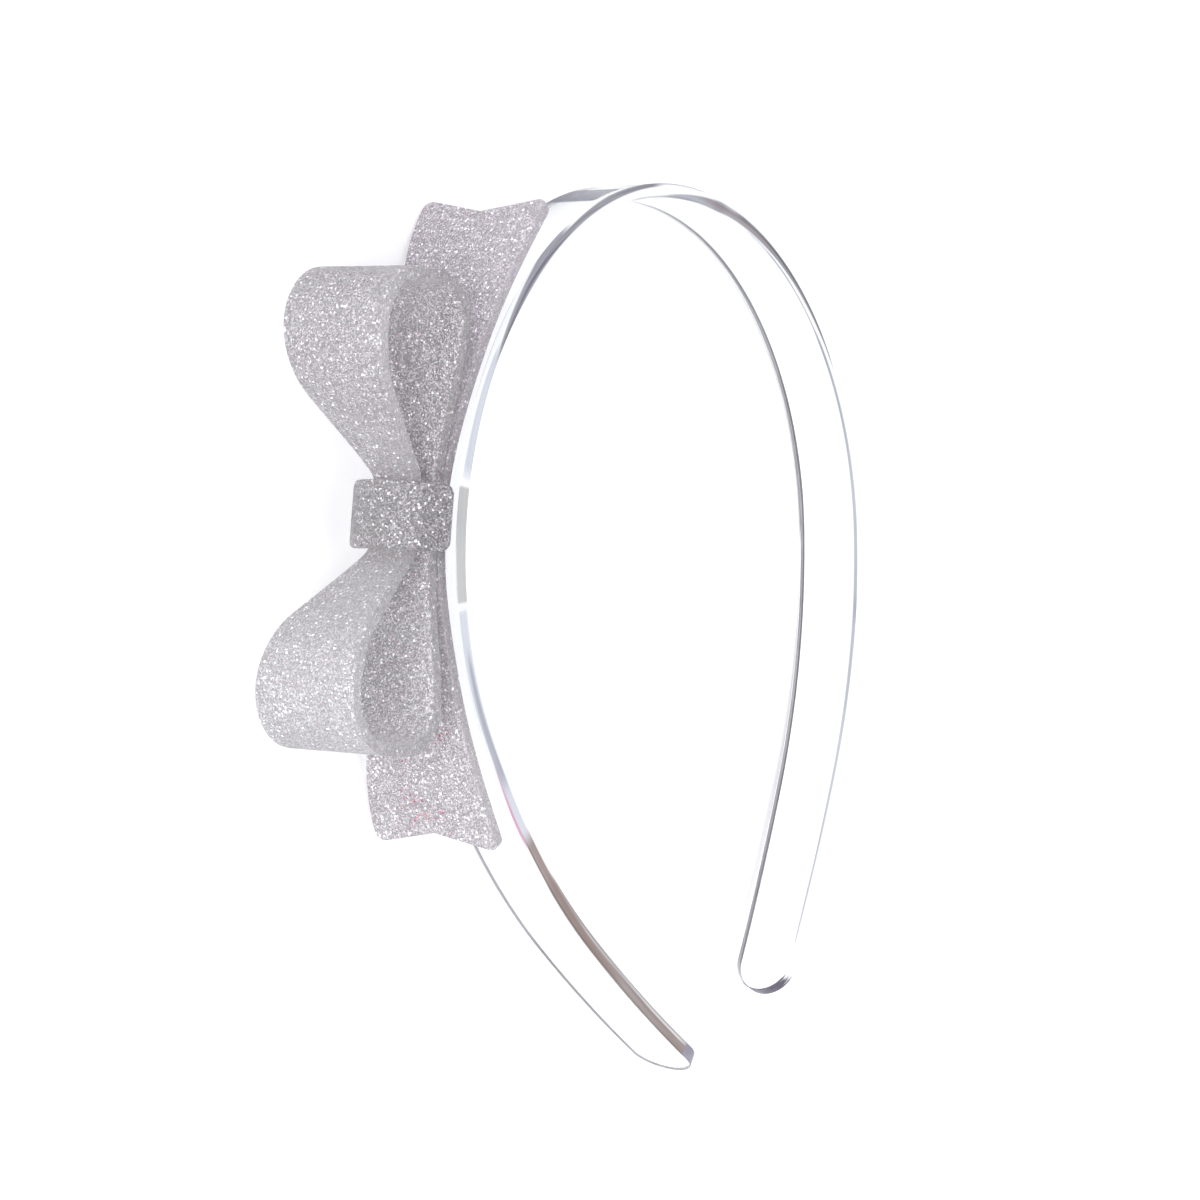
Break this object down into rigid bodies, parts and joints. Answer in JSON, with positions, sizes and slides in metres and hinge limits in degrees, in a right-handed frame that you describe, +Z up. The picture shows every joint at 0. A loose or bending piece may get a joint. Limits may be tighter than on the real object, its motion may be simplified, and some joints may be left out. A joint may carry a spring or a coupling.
{
  "type": "bow headband",
  "caption": "Rigid hoop headband of clear acrylic with a bow bent from silver glitter acrylic sheet on one side, lying on its side.",
  "frame": {"origin": "on the table, under the middle of the object's bounding box", "axes": "+Z up from the table, across the band's width; +Y toward the hoop's crown, with the tips toward -Y; the bow is on the -X side"},
  "size_m": [0.1266, 0.1262, 0.0194],
  "materials": {
    "clear_acrylic": "polished clear sheet with smooth cut edges",
    "silver_glitter": "glossy sheet filled with fine silver glitter"
  },
  "bodies": {
    "root": {"band": "clear_acrylic", "bow_tails": "silver_glitter", "bow_loops": "silver_glitter", "bow_knot": "silver_glitter"}
  },
  "joints": []
}
